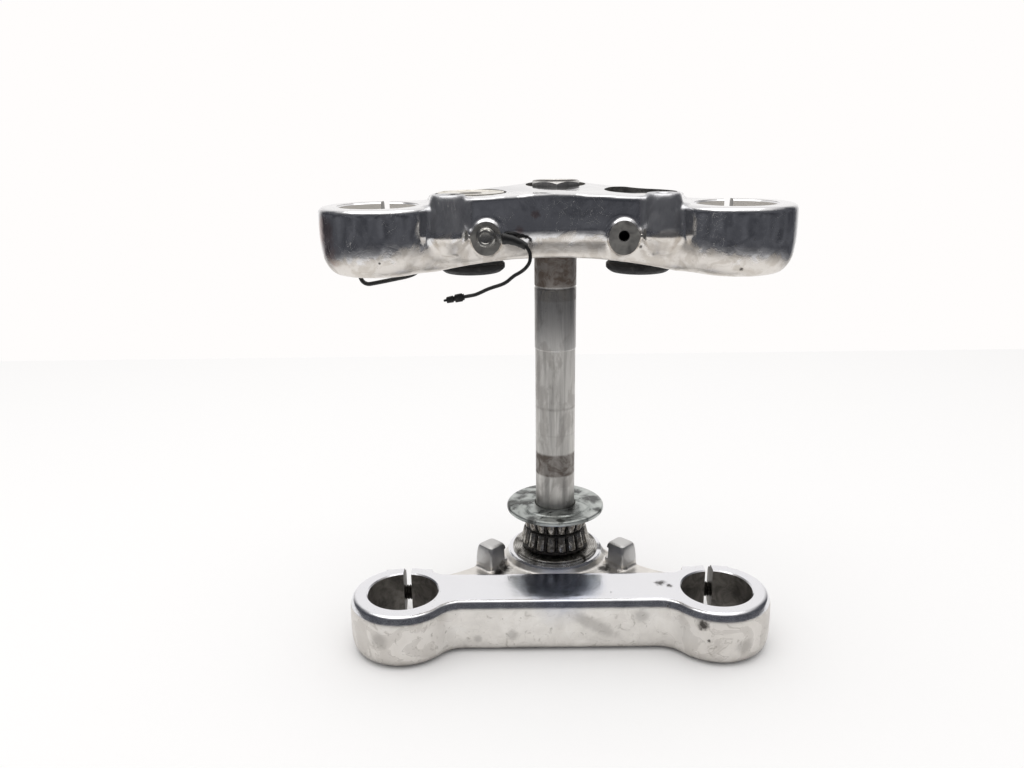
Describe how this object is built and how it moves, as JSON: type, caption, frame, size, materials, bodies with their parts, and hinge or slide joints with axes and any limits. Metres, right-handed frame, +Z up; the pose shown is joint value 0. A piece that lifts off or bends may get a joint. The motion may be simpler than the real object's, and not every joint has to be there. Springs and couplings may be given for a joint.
{
  "type": "motorcycle triple clamp",
  "caption": "Motorcycle triple clamp: cast lower yoke with steering stem and taper roller bearings, polished upper yoke with split fork clamps, riser bushes and a ground lead.",
  "frame": {"origin": "on the steering stem axis at the underside of the lower yoke", "axes": "+Z up the steering stem, -Y towards the fork tubes (front of the motorcycle), +X to the right seen from the front"},
  "size_m": [0.2517, 0.131, 0.2675],
  "materials": {
    "cast_aluminium": "sand-cast and partly polished, stained",
    "polished_aluminium": "polished, with scratches",
    "stem_steel": "ground, with brown bands",
    "bearing_steel": "hardened steel under old grease",
    "roller_steel": "ground, greasy",
    "cage_steel": "pressed steel, black with grease",
    "zinc_steel": "zinc plated, dulled",
    "black_bolt": "black oxide, worn",
    "rubber": "moulded rubber",
    "pale_washer": "pale plated sheet",
    "black_plastic": "insulation, shrink sleeve and connector",
    "black_wire": "black coated wire"
  },
  "bodies": {
    "yokes": {"lower_yoke": "cast_aluminium", "steering_stem": "stem_steel", "lower_dust_ring": "bearing_steel", "lower_bearing_cone": "bearing_steel", "upper_bearing_cone": "bearing_steel", "upper_dust_shield": "zinc_steel", "upper_yoke": "polished_aluminium", "stem_nut": "stem_steel", "lower_pinch_bolts": "black_bolt", "upper_pinch_bolts": "black_bolt", "riser_bush_left": "rubber", "riser_bush_right": "rubber", "bush_sleeve_left": "stem_steel", "bush_sleeve_right": "stem_steel", "cup_washer_left": "pale_washer", "ground_bolt": "black_bolt", "ring_terminal": "zinc_steel", "shrink_sleeve": "black_plastic", "ground_lead": "black_plastic", "lead_connector": "black_plastic", "wire_guide": "black_wire"},
    "lower_rollers": {"lower_bearing_cage": "cage_steel", "lower_bearing_rollers": "roller_steel"},
    "upper_rollers": {"upper_bearing_cage": "cage_steel", "upper_bearing_rollers": "roller_steel"}
  },
  "joints": [
    {"name": "lower_cage_spin", "type": "hinge", "parent": "yokes", "child": "lower_rollers", "pos_m": [0, 0, 0.0403], "axis": [0, 0, 1], "continuous": true},
    {"name": "upper_cage_spin", "type": "hinge", "parent": "yokes", "child": "upper_rollers", "pos_m": [0, 0, 0.0545], "axis": [0, 0, 1], "continuous": true}
  ]
}
